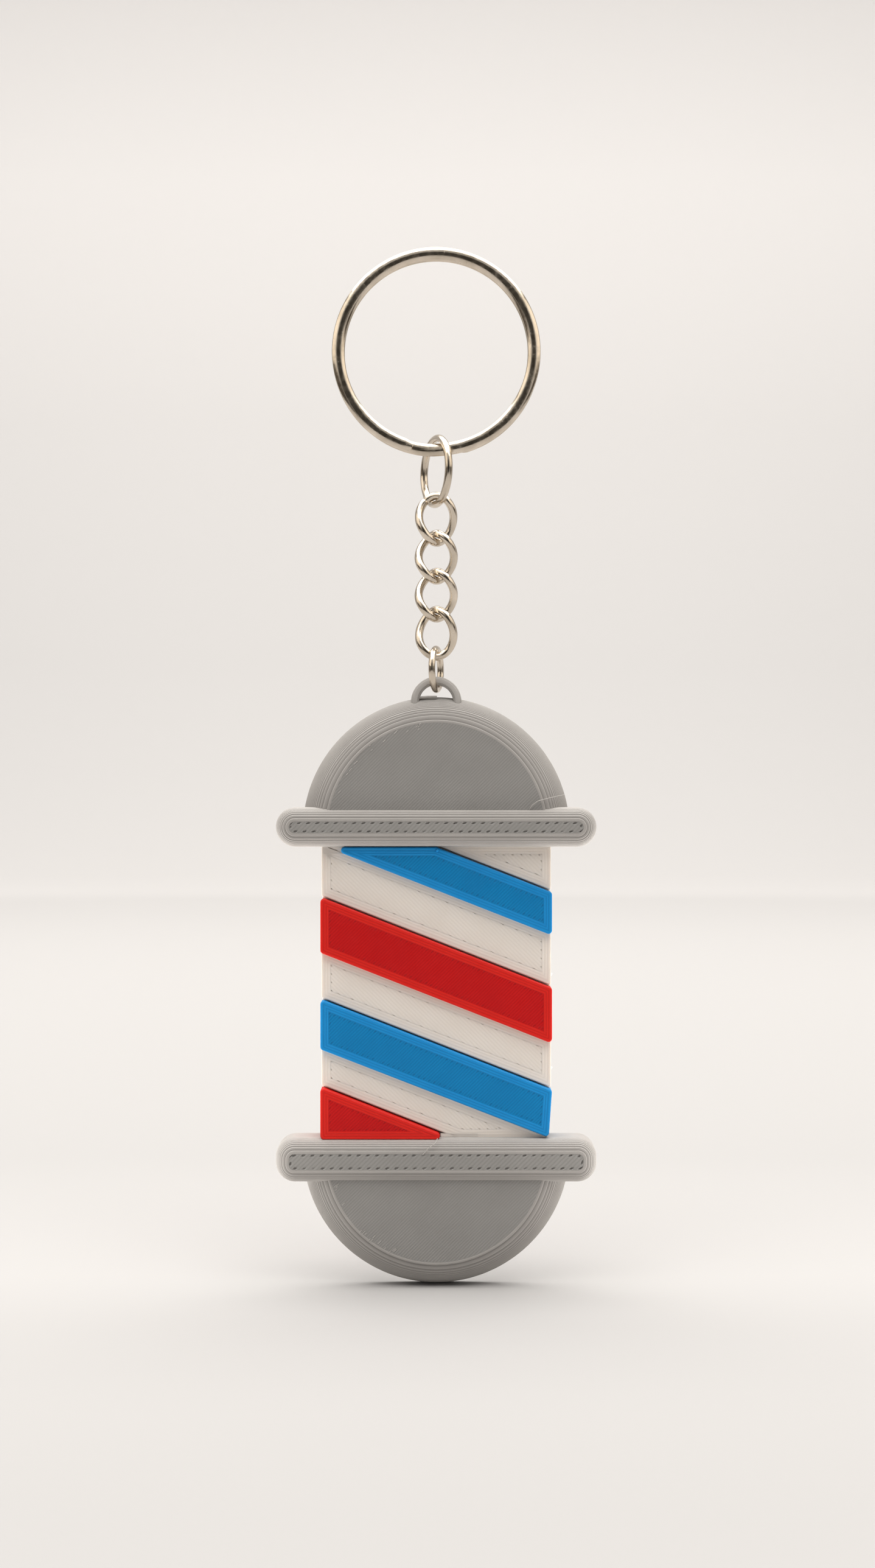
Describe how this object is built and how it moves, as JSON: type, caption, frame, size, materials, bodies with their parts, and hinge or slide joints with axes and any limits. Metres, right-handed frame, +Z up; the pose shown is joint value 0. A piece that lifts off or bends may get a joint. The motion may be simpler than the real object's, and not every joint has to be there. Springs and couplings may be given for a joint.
{
  "type": "barber pole key tag",
  "caption": "Flat printed barber pole tag in grey, white, blue and red, hanging on a short curb chain from a split key ring.",
  "frame": {"origin": "the split ring's hanging point, at the inner side of the top of its wire", "axes": "+X to the right of the tag's face, +Y to its flat back, +Z up along the hanging chain"},
  "size_m": [0.0462, 0.01, 0.1499],
  "materials": {
    "nickel_wire": "bright nickel plate",
    "grey_plastic": "satin, layered print",
    "white_plastic": "satin, layered print",
    "blue_plastic": "satin, layered print",
    "red_plastic": "satin, layered print"
  },
  "bodies": {
    "split_ring": {"split_ring": "nickel_wire"},
    "top_jump_ring": {"top_jump_ring": "nickel_wire"},
    "curb_link_1": {"curb_link_1": "nickel_wire"},
    "curb_link_2": {"curb_link_2": "nickel_wire"},
    "curb_link_3": {"curb_link_3": "nickel_wire"},
    "curb_link_4": {"curb_link_4": "nickel_wire"},
    "lower_jump_ring": {"lower_jump_ring": "nickel_wire"},
    "tag": {"upper_dome": "grey_plastic", "upper_collar": "grey_plastic", "white_band_1": "white_plastic", "blue_stripe_upper": "blue_plastic", "white_band_2": "white_plastic", "red_stripe_middle": "red_plastic", "white_band_3": "white_plastic", "blue_stripe_lower": "blue_plastic", "white_band_4": "white_plastic", "red_stripe_corner": "red_plastic", "lower_collar": "grey_plastic", "lower_dome": "grey_plastic"}
  },
  "joints": [
    {"name": "ring_to_jump_ring", "type": "hinge", "parent": "split_ring", "child": "top_jump_ring", "pos_m": [0, 0, -0.02744], "axis": [1, 0, 0], "range_deg": [-45, 45]},
    {"name": "jump_ring_to_link_1", "type": "hinge", "parent": "top_jump_ring", "child": "curb_link_1", "pos_m": [0, 0, -0.03531], "axis": [0.3746, -0.9272, 0], "range_deg": [-35, 35]},
    {"name": "link_1_to_link_2", "type": "hinge", "parent": "curb_link_1", "child": "curb_link_2", "pos_m": [0, 0, -0.04084], "axis": [0.7071, 0.7071, 0], "range_deg": [-35, 35]},
    {"name": "link_2_to_link_3", "type": "hinge", "parent": "curb_link_2", "child": "curb_link_3", "pos_m": [0, 0, -0.04503], "axis": [0.7071, -0.7071, 0], "range_deg": [-35, 35]},
    {"name": "link_3_to_link_4", "type": "hinge", "parent": "curb_link_3", "child": "curb_link_4", "pos_m": [0, 0, -0.05183], "axis": [-0.7071, -0.7071, 0], "range_deg": [-35, 35]},
    {"name": "link_4_to_jump_ring", "type": "hinge", "parent": "curb_link_4", "child": "lower_jump_ring", "pos_m": [0, 0, -0.05733], "axis": [-0.9511, -0.309, 0], "range_deg": [-45, 45]},
    {"name": "tag_swing", "type": "hinge", "parent": "lower_jump_ring", "child": "tag", "pos_m": [0, 0, -0.06216], "axis": [0.2079, 0.9781, 0], "range_deg": [-45, 45]}
  ]
}
